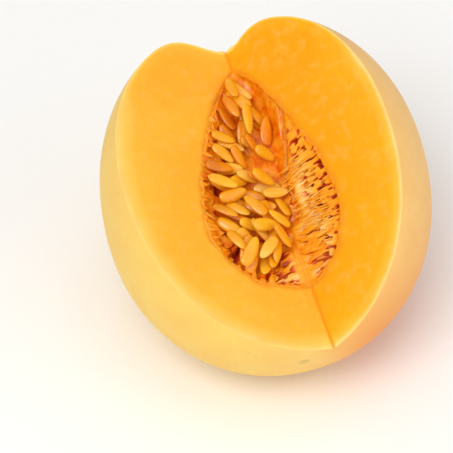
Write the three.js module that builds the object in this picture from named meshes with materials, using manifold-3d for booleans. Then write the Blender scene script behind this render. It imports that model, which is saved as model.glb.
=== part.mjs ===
// A cantaloupe melon with a wedge cut out of it, lying on its back with the notch facing up and forward.
// Units are millimetres. The melon is first made upright: the stem end is +Z and the notch faces -Y.
// It is then laid back on the floor, where the row frame is +Z up with its origin under the middle.

import * as THREE from 'three';
import { mergeVertices } from 'three/addons/utils/BufferGeometryUtils.js';
import Module from 'manifold-3d';

const wasm = await Module();
wasm.setup();

// Outside of the melon.
const equatorRadius = 70;
const halfLength = 78.4;
const skinFullness = 2.11; // power of the superellipse that the skin follows; 2 is a plain ellipse
const stemDimpleDepth = 13;
const stemDimpleWidth = 26;

// The wedge that was cut out. Its two faces meet in a crease that leans a little to the left.
const leftCutAngle = 60.6; // degrees from straight ahead
const rightCutAngle = 55.5;
const creaseRight = 4.6; // place of the crease at the equator, from the melon's axis
const creaseForward = 4.4;
const creaseLean = -0.112; // sideways run for each millimetre of height

// The egg-shaped seed cavity, round the melon's axis.
const cavityRadius = 35;
const cavityWidest = -13; // height of the widest section
const cavityTop = 59;
const cavityBottom = -48;
const cavityTopFullness = 1.35; // below 2 it tapers like a cone, above 2 it is full like a barrel
const cavityBottomFullness = 2.3;

// The pulp in the cavity, and the hollow in it where the seeds lie, seen square to the left cut face.
const pieceGap = 0.3; // clearance between pieces that touch
const hollowHalfWidth = 19;
const hollowWidest = -10;
const hollowTop = 53;
const hollowBottom = -46;
const hollowTopFullness = 1.9;
const hollowBottomFullness = 2;
const hollowOffset = 13.5; // from the crease, out along the left cut face, at the equator
const hollowLean = -0.24;
const hollowHalfDepth = 11;
const hollowRise = 3.4; // how far the hollow's middle is above the left cut face

// One seed: a flat drop with one pointed end.
const seedLength = 12.5;
const seedWidth = 5.7;
const seedThickness = 2.5;
const seedSizeSpread = 0.12;
const seedWidestShare = 0.6; // of its length, from the pointed end
const seedBluntness = 0.84; // 1 has sharp ends, less has rounder ones

// Rows of seeds from the top of the hollow to its bottom. Height is along the crease, left and right are
// distances from the crease out along the left cut face, and heading is in degrees from upright,
// leaning left.
const seedRows = [
  { height: 43, right: 1, left: 4, count: 2, heading: 20 },
  { height: 38, right: 0, left: 7, count: 3, heading: 10 },
  { height: 33, right: -1, left: 10, count: 4, heading: 30 },
  { height: 27, right: -1, left: 11, count: 3, heading: 15 },
  { height: 22, right: 3, left: 14, count: 4, heading: 50 },
  { height: 16, right: 1, left: 18, count: 3, heading: 45 },
  { height: 10, right: 12, left: 25, count: 3, heading: 68 },
  { height: 4, right: 10, left: 25, count: 4, heading: 85 },
  { height: -1, right: 3, left: 24, count: 5, heading: 80 },
  { height: -7, right: 4, left: 20, count: 4, heading: 90 },
  { height: -13, right: 3, left: 29, count: 6, heading: 30 },
  { height: -18, right: 4, left: 28, count: 5, heading: 75 },
  { height: -24, right: 7, left: 26, count: 5, heading: 40 },
  { height: -30, right: 15, left: 27, count: 4, heading: -25 },
  { height: -36, right: 13, left: 22, count: 3, heading: -20 },
];
const headingSpread = 26; // degrees either way
const tiltSpread = 24;
const driftSpread = 3.2; // how far a seed may slide to find room
const driftCost = 0.25; // how much a millimetre of sliding counts against a millimetre of pile
const proudCost = 2; // the same for a millimetre that the seed's middle stands above the cut face
const triesPerSeed = 40;
const feelerStations = 11;
const feelersAcross = 5;

// How the melon lies: leaned back and to the left, then laid down on its back.
const leanBack = 22.3; // degrees
const leanLeft = 12.9;
const layDown = 45;
const restFlatDepth = 2.6;

// Mesh fineness.
const skinSegments = 60;
const skinSteps = 30;
const cavitySegments = 40;
const cavitySteps = 22;
const seedRingPoints = 8;
const seedRings = [0.05, 0.2, 0.42, 0.64, 0.84, 0.97]; // shares of the seed's length

const degrees = Math.PI / 180;

// A closed geometry as a manifold solid, without the flat triangles that a lathe leaves at its poles.
function toSolid(geometry) {
  const bare = new THREE.BufferGeometry();
  bare.setAttribute('position', geometry.getAttribute('position'));
  bare.setIndex(geometry.getIndex());
  const merged = mergeVertices(bare, 1e-4);
  const corners = merged.getIndex().array;
  const kept = [];
  for (let i = 0; i < corners.length; i += 3) {
    const [a, b, c] = corners.slice(i, i + 3);
    if (a !== b && b !== c && c !== a) {
      kept.push(a, b, c);
    }
  }
  const mesh = new wasm.Mesh({
    numProp: 3,
    vertProperties: new Float32Array(merged.getAttribute('position').array),
    triVerts: new Uint32Array(kept),
  });
  return new wasm.Manifold(mesh);
}

function toGeometry(solid) {
  const mesh = solid.getMesh();
  const geometry = new THREE.BufferGeometry();
  geometry.setAttribute('position', new THREE.BufferAttribute(new Float32Array(mesh.vertProperties), 3));
  geometry.setIndex(new THREE.BufferAttribute(new Uint32Array(mesh.triVerts), 1));
  geometry.computeVertexNormals();
  return geometry;
}

function revolve(profile, segments) {
  const geometry = new THREE.LatheGeometry(profile, segments);
  geometry.rotateX(Math.PI / 2);
  return geometry;
}

// A superellipse point for a polar angle measured from the top.
function superellipse(angle, radius, height, fullness) {
  const side = Math.abs(Math.sin(angle));
  const rise = Math.abs(Math.cos(angle));
  const reach = (side ** fullness + rise ** fullness) ** (-1 / fullness);
  return new THREE.Vector2(radius * reach * side, height * reach * Math.cos(angle));
}

function skinProfile() {
  const points = [];
  for (let i = 0; i <= skinSteps; i += 1) {
    const angle = Math.PI * (1 - i / skinSteps);
    const point = superellipse(angle, equatorRadius, halfLength, skinFullness);
    if (point.y > 0) {
      point.y -= stemDimpleDepth * Math.exp(-((point.x / stemDimpleWidth) ** 2));
    }
    points.push(point);
  }
  points[0].x = 0;
  points[skinSteps].x = 0;
  return points;
}

const cavityEgg = {
  radius: cavityRadius,
  widest: cavityWidest,
  top: cavityTop,
  bottom: cavityBottom,
  topFullness: cavityTopFullness,
  bottomFullness: cavityBottomFullness,
};

const hollowEgg = {
  radius: hollowHalfWidth,
  widest: hollowWidest,
  top: hollowTop,
  bottom: hollowBottom,
  topFullness: hollowTopFullness,
  bottomFullness: hollowBottomFullness,
};

// The outline of an egg shape, made smaller all round by inset.
function eggProfile(egg, inset) {
  const points = [];
  for (let i = 0; i <= cavitySteps; i += 1) {
    const angle = Math.PI * (1 - i / cavitySteps);
    const upper = Math.cos(angle) > 0;
    const end = upper ? egg.top - egg.widest : egg.widest - egg.bottom;
    const fullness = upper ? egg.topFullness : egg.bottomFullness;
    const point = superellipse(angle, egg.radius - inset, end - inset, fullness);
    point.y += egg.widest;
    points.push(point);
  }
  points[0].x = 0;
  points[cavitySteps].x = 0;
  return points;
}

// Whether a point is inside an egg that is made smaller by inset. Share is the point's distance from the
// egg's axis over the widest radius there.
function insideEgg(egg, inset, share, height) {
  const upper = height > egg.widest;
  const end = upper ? egg.top - egg.widest : egg.widest - egg.bottom;
  const fullness = upper ? egg.topFullness : egg.bottomFullness;
  const rise = Math.abs(height - egg.widest) / (end - inset);
  return share ** fullness + rise ** fullness < 1;
}

// The crease's own frame: its foot is beside the melon's axis, and it leans as it rises.
const creaseFrame = new THREE.Matrix4().set(
  ...[1, 0, creaseLean, creaseRight],
  ...[0, 1, 0, -creaseForward],
  ...[0, 0, 1, 0],
  ...[0, 0, 0, 1],
);
const leftOut = new THREE.Vector3(-Math.sin(leftCutAngle * degrees), -Math.cos(leftCutAngle * degrees), 0);
const rightOut = new THREE.Vector3(Math.sin(rightCutAngle * degrees), -Math.cos(rightCutAngle * degrees), 0);
const up = new THREE.Vector3(0, 0, 1);
const notchAngle = leftOut.angleTo(rightOut);

// The left cut face's axes: x out from the crease, y out of the flesh into the notch, z up.
const leftTurn = new THREE.Matrix4().makeBasis(leftOut, new THREE.Vector3().crossVectors(up, leftOut), up);
const leftFace = creaseFrame.clone().multiply(leftTurn);
const toLeftFace = leftFace.clone().invert();

// The notch as a solid: a three-sided prism whose edge is the crease, reaching well out of the melon.
function notchSolid() {
  const reach = 3 * Math.max(equatorRadius, halfLength);
  const shape = new THREE.Shape([
    new THREE.Vector2(0, 0),
    new THREE.Vector2(leftOut.x * reach, leftOut.y * reach),
    new THREE.Vector2(rightOut.x * reach, rightOut.y * reach),
  ]);
  const geometry = new THREE.ExtrudeGeometry(shape, { depth: 2 * reach, bevelEnabled: false });
  geometry.translate(0, 0, -reach);
  geometry.applyMatrix4(creaseFrame);
  return toSolid(geometry);
}

// The hollow's middle line, out from the crease along the left cut face.
const hollowMiddle = (height) => hollowOffset + hollowLean * height;

// The hollow as a solid. Its upper half is lifted, so that its sides stand straight up into the notch.
function hollowSolid() {
  const geometry = revolve(eggProfile(hollowEgg, 0), cavitySegments);
  const squash = new THREE.Matrix4().set(
    ...[1, 0, hollowLean, hollowOffset],
    ...[0, hollowHalfDepth / hollowHalfWidth, 0, hollowRise],
    ...[0, 0, 1, 0],
    ...[0, 0, 0, 1],
  );
  geometry.applyMatrix4(squash);
  const points = geometry.getAttribute('position');
  for (let i = 0; i < points.count; i += 1) {
    if (points.getY(i) > hollowRise + pieceGap) {
      points.setY(i, points.getY(i) + seedLength);
    }
  }
  geometry.applyMatrix4(leftFace);
  return toSolid(geometry);
}

// How the melon lies on the floor.
const laid = new THREE.Matrix4().makeRotationX(-layDown * degrees);
laid.multiply(new THREE.Matrix4().makeRotationY(-leanLeft * degrees));
laid.multiply(new THREE.Matrix4().makeRotationX(-leanBack * degrees));

// A block whose top face cuts the small flat that the melon rests on.
function floorSolid(skin) {
  const spread = 6 * halfLength;
  const geometry = new THREE.BoxGeometry(spread, spread, spread);
  const lowest = new THREE.Box3().setFromBufferAttribute(
    skin.clone().applyMatrix4(laid).getAttribute('position'),
  ).min.z;
  geometry.translate(0, 0, lowest + restFlatDepth - spread / 2);
  geometry.applyMatrix4(laid.clone().invert());
  return toSolid(geometry);
}

const notch = notchSolid();

function melonBodyGeometry() {
  const skin = revolve(skinProfile(), skinSegments);
  const cavity = revolve(eggProfile(cavityEgg, 0), cavitySegments);
  const whole = toSolid(skin);
  return toGeometry(whole.subtract(toSolid(cavity)).subtract(notch).subtract(floorSolid(skin)));
}

function seedPulpGeometry() {
  const filling = toSolid(revolve(eggProfile(cavityEgg, pieceGap), cavitySegments));
  return toGeometry(filling.subtract(notch).subtract(hollowSolid()));
}

// Half the seed's width or thickness at a share of its length, as a part of its widest.
// It closes to a point at the start and to a round end at the finish.
function seedOutline(share) {
  const tipPower = seedBluntness * seedWidestShare;
  const endPower = seedBluntness * (1 - seedWidestShare);
  const widest = seedWidestShare ** tipPower * (1 - seedWidestShare) ** endPower;
  return (share ** tipPower * (1 - share) ** endPower) / widest;
}

function seedGeometry() {
  const points = [0, 0, -seedLength / 2];
  for (const share of seedRings) {
    for (let i = 0; i < seedRingPoints; i += 1) {
      const angle = (2 * Math.PI * i) / seedRingPoints;
      const outline = seedOutline(share) / 2;
      points.push(outline * seedWidth * Math.cos(angle), outline * seedThickness * Math.sin(angle));
      points.push((share - 1 / 2) * seedLength);
    }
  }
  points.push(0, 0, seedLength / 2);
  const last = points.length / 3 - 1;
  const corners = [];
  for (let i = 0; i < seedRingPoints; i += 1) {
    const next = (i + 1) % seedRingPoints;
    corners.push(0, 1 + next, 1 + i);
    for (let ring = 0; ring < seedRings.length - 1; ring += 1) {
      const low = 1 + ring * seedRingPoints;
      const high = low + seedRingPoints;
      corners.push(low + i, low + next, high + next);
      corners.push(low + i, high + next, high + i);
    }
    const top = last - seedRingPoints;
    corners.push(last, top + i, top + next);
  }
  const geometry = new THREE.BufferGeometry();
  geometry.setAttribute('position', new THREE.Float32BufferAttribute(points, 3));
  geometry.setIndex(corners);
  geometry.computeVertexNormals();
  return geometry;
}

// A seed is felt as a sheet of small balls that fill it.
function seedFeelers() {
  const feelers = [];
  for (let i = 0; i < feelerStations; i += 1) {
    const share = (i + 1 / 2) / feelerStations;
    const outline = seedOutline(share) / 2;
    for (let j = 0; j < feelersAcross; j += 1) {
      const across = (2 * (j + 1 / 2)) / feelersAcross - 1;
      const radius = outline * seedThickness * Math.sqrt(1 - across ** 2);
      const point = new THREE.Vector3(outline * seedWidth * across, 0, (share - 1 / 2) * seedLength);
      feelers.push({ point, radius });
    }
  }
  return feelers;
}

// The same numbers at every run, between -1 and 1.
function makeSpread(start) {
  let state = start;
  return () => {
    state = (Math.imul(state, 1664525) + 1013904223) >>> 0;
    return state / 2 ** 31 - 1;
  };
}

// Whether a ball is clear of the pulp and the flesh: out in the notch, or else inside both the hollow and the
// cavity.
function clearOfBed(point, radius) {
  const inset = radius + pieceGap;
  const seen = point.clone().applyMatrix4(toLeftFace);
  const offRightFace = seen.x * Math.sin(notchAngle) - seen.y * Math.cos(notchAngle);
  if (seen.y > inset && offRightFace > inset) {
    return true;
  }
  const across = (seen.x - hollowMiddle(seen.z)) / (hollowHalfWidth - inset);
  const below = Math.min(seen.y - hollowRise, 0) / (hollowHalfDepth - inset);
  const share = Math.hypot(point.x, point.y) / (cavityRadius - inset);
  const inHollow = insideEgg(hollowEgg, inset, Math.hypot(across, below), seen.z);
  return inHollow && insideEgg(cavityEgg, inset, share, point.z);
}

// How far a ball can move along a direction before it is pieceGap from another.
function travelToBall(ball, direction, other) {
  const reach = ball.radius + other.radius + pieceGap;
  const between = new THREE.Vector3().subVectors(other.point, ball.point);
  const along = between.dot(direction);
  const missSquared = between.lengthSq() - along ** 2;
  if (along < 0 || missSquared >= reach ** 2) {
    return Infinity;
  }
  return along - Math.sqrt(reach ** 2 - missSquared);
}

const dropStart = 3 * seedLength; // height over the left cut face that a seed is let down from
const intoFlesh = new THREE.Vector3(0, -1, 0).transformDirection(leftTurn);

// How far a seed can be let down, and how far above the bed the seeds below stop it.
function letDown(balls, laidSeeds) {
  const clearAfter = (travel) =>
    balls.every((ball) => clearOfBed(ball.point.clone().addScaledVector(intoFlesh, travel), ball.radius));
  let toBed = 0;
  let blocked = dropStart + hollowHalfDepth;
  for (let step = 0; step < 12; step += 1) {
    const middle = (toBed + blocked) / 2;
    if (clearAfter(middle)) {
      toBed = middle;
    } else {
      blocked = middle;
    }
  }
  let travel = toBed;
  const centre = balls[Math.floor(balls.length / 2)].point;
  for (const seed of laidSeeds) {
    const between = new THREE.Vector3().subVectors(seed.centre, centre);
    const along = between.dot(intoFlesh);
    if (between.lengthSq() - along ** 2 > (1.2 * seedLength) ** 2) {
      continue;
    }
    for (const other of seed.balls) {
      for (const ball of balls) {
        travel = Math.min(travel, travelToBall(ball, intoFlesh, other));
      }
    }
  }
  return { travel, pile: toBed - travel };
}

// Where a seed starts, high over the hollow, turned as it will lie.
function startPose(place, slide, size, spread) {
  const start = new THREE.Vector3(place.out + slide.x, dropStart, place.height + slide.y);
  const slant = new THREE.Euler(tiltSpread * degrees * spread(), 0, tiltSpread * degrees * spread());
  const pose = leftTurn.clone();
  pose.multiply(new THREE.Matrix4().makeRotationY(place.heading * degrees));
  pose.multiply(new THREE.Matrix4().makeRotationFromEuler(slant));
  pose.scale(new THREE.Vector3(size, size, size));
  return pose.setPosition(start.applyMatrix4(leftFace));
}

// The places of the rows' seeds, in a mixed order, so that no row lies wholly on the next.
function seedPlaces(spread) {
  const places = [];
  for (const row of seedRows) {
    for (let i = 0; i < row.count; i += 1) {
      const out = THREE.MathUtils.lerp(row.right, row.left, i / (row.count - 1));
      const flip = spread() > 0.5 ? 180 : 0;
      const heading = row.heading + flip + headingSpread * spread();
      places.push({ out, height: row.height, heading, turn: spread() });
    }
  }
  return places.sort((a, b) => a.turn - b.turn);
}

// Lays the seeds in the hollow one after another. Each is tried at several slants and slides, and keeps the
// one that puts it lowest on the pile and least above the cut face, with the least sliding.
function laySeeds() {
  const spread = makeSpread(7);
  const feelers = seedFeelers();
  const laidSeeds = [];
  for (const place of seedPlaces(spread)) {
    const size = 1 + seedSizeSpread * spread();
    let best = null;
    for (let attempt = 0; attempt < triesPerSeed; attempt += 1) {
      const slide = new THREE.Vector2(driftSpread * spread(), driftSpread * spread());
      const pose = startPose(place, slide, size, spread);
      const balls = feelers.map((feeler) => ({
        point: feeler.point.clone().applyMatrix4(pose),
        radius: feeler.radius * size,
      }));
      const drop = letDown(balls, laidSeeds);
      const proud = Math.max(dropStart - drop.travel, 0);
      const cost = drop.pile + proudCost * proud + driftCost * slide.length();
      if (best === null || cost < best.cost) {
        best = { pose, balls, cost, move: intoFlesh.clone().multiplyScalar(drop.travel) };
      }
    }
    best.balls.forEach((ball) => ball.point.add(best.move));
    best.pose.premultiply(new THREE.Matrix4().setPosition(best.move));
    const centre = new THREE.Vector3().setFromMatrixPosition(best.pose);
    laidSeeds.push({ pose: best.pose, balls: best.balls, centre });
  }
  return laidSeeds;
}

function finish(color, roughness) {
  return new THREE.MeshStandardMaterial({ color, roughness, metalness: 0 });
}

const melon = new THREE.Group();

const melonBody = new THREE.Mesh(melonBodyGeometry(), finish('#feb73b', 0.45));
melonBody.name = 'melon_body';
melon.add(melonBody);

const seedPulp = new THREE.Mesh(seedPulpGeometry(), finish('#f08a24', 0.35));
seedPulp.name = 'seed_pulp';
melon.add(seedPulp);

const seedShape = seedGeometry();
const seedFinish = finish('#e9b04a', 0.3);
laySeeds().forEach((seed, index) => {
  const mesh = new THREE.Mesh(seedShape, seedFinish);
  mesh.name = `seed_${String(index + 1).padStart(2, '0')}`;
  mesh.applyMatrix4(seed.pose);
  melon.add(mesh);
});

melon.applyMatrix4(laid);
const group = new THREE.Group();
group.add(melon);

// Puts the row's origin under the middle of the melon.
const box = new THREE.Box3().setFromObject(group, true);
const middle = box.getCenter(new THREE.Vector3());
group.position.set(-middle.x, -middle.y, -box.min.z);

export default group;
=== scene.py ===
"""A cantaloupe melon with a wedge cut out of it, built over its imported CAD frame.

The melon is shaped upright in millimetres, stem end up and notch to the front, and then laid on its back as
the CAD lays it. Every piece takes its place from the frame.
"""

import math

import bmesh
import bpy
import numpy as np
from mathutils import Matrix, Vector


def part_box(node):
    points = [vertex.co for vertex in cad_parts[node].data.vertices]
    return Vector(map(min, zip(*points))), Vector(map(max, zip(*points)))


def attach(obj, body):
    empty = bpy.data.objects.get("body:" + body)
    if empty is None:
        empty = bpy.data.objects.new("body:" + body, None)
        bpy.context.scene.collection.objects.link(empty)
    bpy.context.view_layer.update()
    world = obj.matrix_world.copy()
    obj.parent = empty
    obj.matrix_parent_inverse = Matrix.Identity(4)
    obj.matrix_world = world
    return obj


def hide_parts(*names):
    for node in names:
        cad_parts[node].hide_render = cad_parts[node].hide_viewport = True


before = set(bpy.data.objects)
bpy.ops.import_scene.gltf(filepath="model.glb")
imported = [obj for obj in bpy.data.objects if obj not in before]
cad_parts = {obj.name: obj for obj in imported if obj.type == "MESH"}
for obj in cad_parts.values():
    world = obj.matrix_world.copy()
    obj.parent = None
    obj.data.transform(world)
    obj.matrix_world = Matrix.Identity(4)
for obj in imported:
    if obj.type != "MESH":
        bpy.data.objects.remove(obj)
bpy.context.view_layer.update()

bl_info = {
    "name": "Cut cantaloupe melon",
    "version": (1, 0, 0),
    "blender": (4, 5, 0),
    "location": "View3D > Sidebar > Melon",
    "description": "Builds a cut cantaloupe melon with its pulp, seeds and a plain stage",
    "category": "Object",
}

MM = 0.001
SEED_NODES = sorted(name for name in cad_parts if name.startswith("seed_") and name != "seed_pulp")

# The melon's shape, as the CAD has it, in millimetres and degrees.
EQUATOR_RADIUS = 70.0
HALF_LENGTH = 78.4
SKIN_FULLNESS = 2.11
DIMPLE_DEPTH = 13.0
DIMPLE_WIDTH = 26.0
LEFT_CUT, RIGHT_CUT = 60.6, 55.5
CREASE_FOOT = np.array([4.6, -4.4, 0.0])
CREASE_LEAN = -0.112
CAVITY = {"radius": 35.0, "widest": -13.0, "top": 59.0, "bottom": -48.0, "upper": 1.35, "lower": 2.3}
HOLLOW = {"radius": 19.0, "widest": -10.0, "top": 53.0, "bottom": -46.0, "upper": 1.9, "lower": 2.0}
HOLLOW_OFFSET, HOLLOW_LEAN = 13.5, -0.24
HOLLOW_DEPTH, HOLLOW_RISE = 11.0, 3.4
LEAN_BACK, LEAN_LEFT, LAY_DOWN = 22.3, 12.9, 45.0
REST_FLAT_DEPTH = 2.6
# How much fuller the shoulders beside the notch are than the plain CAD skin.
SHOULDER_LIFT = 2.4
# How far the hollow stays open before fibre fills it: all over, more at the stem end, and more to the left.
OPEN_EVERYWHERE, OPEN_AT_STEM, OPEN_TO_LEFT = 1.8, 62, 28
# How far round a seed the pulp gives way to it, and how much less it gives way there.
SEED_BERTH, SEED_BERTH_RISE = 1.8, 0.6
# How steeply the stringy fibres rise from the crease, in degrees, how that grows with height, and its limits.
FAN_SLOPE, FAN_SLOPE_GROWTH, FAN_SLOPE_LIMITS = 9, 0.7, (-5, 36)
# Long sums are worked out in this many parts, to save memory.
WORK_PARTS = 80
# A reach is found by halving the longest one this many times.
LONGEST_REACH, HALVINGS = 110.0, 26

# The point on the crease that every shape is measured out from, and the crease's own direction.
HEART_HEIGHT = -5.0
CREASE = np.array([CREASE_LEAN, 0.0, 1.0]) / math.hypot(CREASE_LEAN, 1.0)
HEART = CREASE_FOOT + np.array([CREASE_LEAN, 0.0, 1.0]) * HEART_HEIGHT


# ---------------------------------------------------------------- colours and noise


def srgb(hex_colour):
    """A linear RGBA colour from an sRGB hex value."""
    values = [int(hex_colour[i : i + 2], 16) / 255 for i in (1, 3, 5)]
    return tuple(v / 12.92 if v <= 0.04045 else ((v + 0.055) / 1.055) ** 2.4 for v in values) + (1.0,)


def smooth_step(low, high, value):
    """0 below low, 1 above high, and a soft rise between them."""
    t = np.clip((value - low) / (high - low), 0, 1)
    return t * t * (3 - 2 * t)


NOISE_SIDE = 32
NOISE_SHIFT = 7.3


def soft_noise(points, grain, start):
    """Smooth noise between 0 and 1 at points (n, 3). Grain is one lump's size, and start picks the noise."""
    table = np.random.default_rng(start).random((NOISE_SIDE,) * 3)
    q = np.asarray(points) / np.asarray(grain, float) + NOISE_SHIFT
    cell = np.floor(q).astype(int)
    part = q - cell
    part = part * part * (3 - 2 * part)
    total = np.zeros(len(q))
    for corner in np.ndindex(2, 2, 2):
        weight = np.prod(np.where(corner, part, 1 - part), axis=1)
        index = (cell + corner) % NOISE_SIDE
        total += weight * table[index[:, 0], index[:, 1], index[:, 2]]
    return total


def layered_noise(points, grain, start, layers=3):
    """Noise of several grains, each half as coarse and half as strong as the last, between 0 and 1."""
    total, strength = 0.0, 0.0
    for layer in range(layers):
        share = 0.5**layer
        total = total + share * soft_noise(points, np.asarray(grain, float) * share, start + layer)
        strength += share
    return total / strength


# ---------------------------------------------------------------- the melon's own axes


def turned(axis, angle):
    """The turn about one axis by an angle in degrees, as a matrix."""
    return np.array(Matrix.Rotation(math.radians(angle), 3, axis))


LAID = turned("X", -LAY_DOWN) @ turned("Y", -LEAN_LEFT) @ turned("X", -LEAN_BACK)


def out_along(angle, side):
    """The level direction that a cut face runs out in, side -1 for left and 1 for right."""
    a = math.radians(angle)
    return np.array([side * math.sin(a), -math.cos(a), 0.0])


def square_to_crease(direction):
    """The part of a direction that is square to the crease, at unit length."""
    flat = direction - CREASE * (direction @ CREASE)
    return flat / np.linalg.norm(flat)


RIGHT_OUT = square_to_crease(out_along(RIGHT_CUT, 1))
LEFT_OUT = square_to_crease(out_along(LEFT_CUT, -1))
TURN_BASE = np.cross(CREASE, RIGHT_OUT)
# Turning from the right cut face round the back of the melon to the left one, about the crease.
FULL_TURN = 2 * math.pi - math.acos(RIGHT_OUT @ LEFT_OUT)
LEFT_NORMAL = np.cross(CREASE, LEFT_OUT)
RIGHT_NORMAL = np.cross(RIGHT_OUT, CREASE)


def ray_grid(turns, tilts):
    """Unit directions from the heart for every turn about the crease and every tilt from its upper end."""
    turn, tilt = np.meshgrid(turns, tilts, indexing="ij")
    level = np.cos(turn)[..., None] * RIGHT_OUT + np.sin(turn)[..., None] * TURN_BASE
    return np.sin(tilt)[..., None] * level + np.cos(tilt)[..., None] * CREASE


# ---------------------------------------------------------------- the shapes, as inside tests


def in_skin(p):
    """Whether points are inside the melon's skin."""
    radius = np.hypot(p[:, 0], p[:, 1])
    azimuth = np.arctan2(p[:, 1], p[:, 0])
    # The skin swells a little in three broad lobes and in five slighter ones.
    swell = 1 + 0.004 * np.sin(3 * azimuth + 0.6) + 0.003 * np.sin(5 * azimuth + p[:, 2] / 30)
    # The shoulders stand up beside the notch, nearer the axis and higher on its right.
    front = smooth_step(0.1, -0.45, p[:, 1] / np.maximum(radius, 1e-6))
    right = smooth_step(-10, 10, p[:, 0])
    shoulder = (SHOULDER_LIFT + right) * front * np.exp(-(((radius - 28 + 11 * right) / 14) ** 2))
    dimple = DIMPLE_DEPTH * np.exp(-((radius / DIMPLE_WIDTH) ** 2)) - shoulder
    height = p[:, 2] + np.where(p[:, 2] > 0, dimple, 0)
    across = (radius / swell / EQUATOR_RADIUS) ** SKIN_FULLNESS
    return across + (np.abs(height) / HALF_LENGTH) ** SKIN_FULLNESS < 1


def in_egg(egg, share, height, grow=0.0):
    """Whether points are inside an egg shape, from their share of its radius and their height."""
    upper = height > egg["widest"]
    end = np.where(upper, egg["top"] - egg["widest"], egg["widest"] - egg["bottom"]) + grow
    fullness = np.where(upper, egg["upper"], egg["lower"])
    return share**fullness + (np.abs(height - egg["widest"]) / end) ** fullness < 1


def in_cavity(p, grow=0.0):
    """Whether points are inside the seed cavity, made bigger all round by grow."""
    return in_egg(CAVITY, np.hypot(p[:, 0], p[:, 1]) / (CAVITY["radius"] + grow), p[:, 2], grow)


def left_face_place(p):
    """Distance out from the crease along the left cut face, and distance above that face."""
    foot = CREASE_FOOT + np.outer(p[:, 2], [CREASE_LEAN, 0, 0])
    level = (p - foot)[:, :2]
    out = out_along(LEFT_CUT, -1)[:2]
    above = np.array([-out[1], out[0]])
    return level @ out, level @ above


def in_hollow(p):
    """Whether points are in the hollow of the pulp where the seeds lie."""
    out, above = left_face_place(p)
    across = (out - HOLLOW_OFFSET - HOLLOW_LEAN * p[:, 2]) / HOLLOW["radius"]
    below = np.minimum(above - HOLLOW_RISE, 0) / HOLLOW_DEPTH
    return in_egg(HOLLOW, np.hypot(across, below), p[:, 2])


def fibre_limit(turns, tilts):
    """How far the hollow stays open along each ray before the stringy fibre on the right fills it, in mm."""
    turn, tilt = np.meshgrid(np.degrees(turns), np.degrees(tilts), indexing="ij")
    stem_end = smooth_step(40, 10, tilt) ** 1.4
    return OPEN_EVERYWHERE + OPEN_AT_STEM * stem_end + OPEN_TO_LEFT * smooth_step(4, 105, turn)


def reach(inside, directions):
    """How far each direction goes from the heart before it leaves a shape, in millimetres."""
    flat = directions.reshape(-1, 3)
    low, high = np.zeros(len(flat)), np.full(len(flat), LONGEST_REACH)
    for _ in range(HALVINGS):
        middle = (low + high) / 2
        held = inside(HEART + flat * middle[:, None])
        low, high = np.where(held, middle, low), np.where(held, high, middle)
    return low.reshape(directions.shape[:-1])


# ---------------------------------------------------------------- mesh making


def laid_places(points):
    """Melon places in millimetres as places in the frame in metres."""
    return (points @ LAID.T + OFFSET) * MM


def find_offset():
    """Where the laid melon stands: its body's box is the CAD body's box."""
    rays = ray_grid(np.linspace(0, FULL_TURN, 91), np.linspace(0, math.pi, 91))
    skin = (HEART + rays * reach(in_skin, rays)[..., None]).reshape(-1, 3) @ LAID.T
    low, high = (np.array(corner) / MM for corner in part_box("melon_body"))
    middle = (low + high) / 2 - (skin.min(0) + skin.max(0)) / 2
    return np.array([middle[0], middle[1], low[2] - skin[:, 2].min() - REST_FLAT_DEPTH])


OFFSET = find_offset()


def far_side_of_seeds(rays):
    """For each ray from the heart, how far the seeds near it reach, or 0 where there is none."""
    places = [np.array([v.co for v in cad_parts[node].data.vertices]) for node in SEED_NODES]
    places = (np.concatenate(places) / MM - OFFSET) @ LAID - HEART
    flat = rays.reshape(-1, 3)
    far = np.zeros(len(flat))
    distance = np.linalg.norm(places, axis=1)
    for part in np.array_split(np.arange(len(flat)), WORK_PARTS):
        along = flat[part] @ places.T
        aside = np.sqrt(np.maximum(distance[None] ** 2 - along**2, 0))
        near = (aside < SEED_BERTH) & (along > 0)
        berth = along - SEED_BERTH_RISE * (aside / SEED_BERTH) ** 2
        far[part] = np.max(np.where(near, berth, 0), axis=1)
    return far.reshape(rays.shape[:-1])


def add_mesh(name, points, faces, attributes=None, materials=(), slots=None):
    """A new object from points in metres. Attributes are named lists of one number per point."""
    mesh = bpy.data.meshes.new(name)
    mesh.from_pydata([tuple(p) for p in points], [], faces)
    for key, values in (attributes or {}).items():
        layer = mesh.attributes.new(key, "FLOAT", "POINT")
        layer.data.foreach_set("value", np.asarray(values, np.float32))
    for material in materials:
        mesh.materials.append(material)
    if slots is not None:
        mesh.polygons.foreach_set("material_index", np.asarray(slots, np.int32))
    mesh.polygons.foreach_set("use_smooth", np.ones(len(mesh.polygons), bool))
    mesh.validate()
    mesh.update()
    piece = bpy.data.objects.new(name, mesh)
    bpy.context.scene.collection.objects.link(piece)
    return piece


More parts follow.
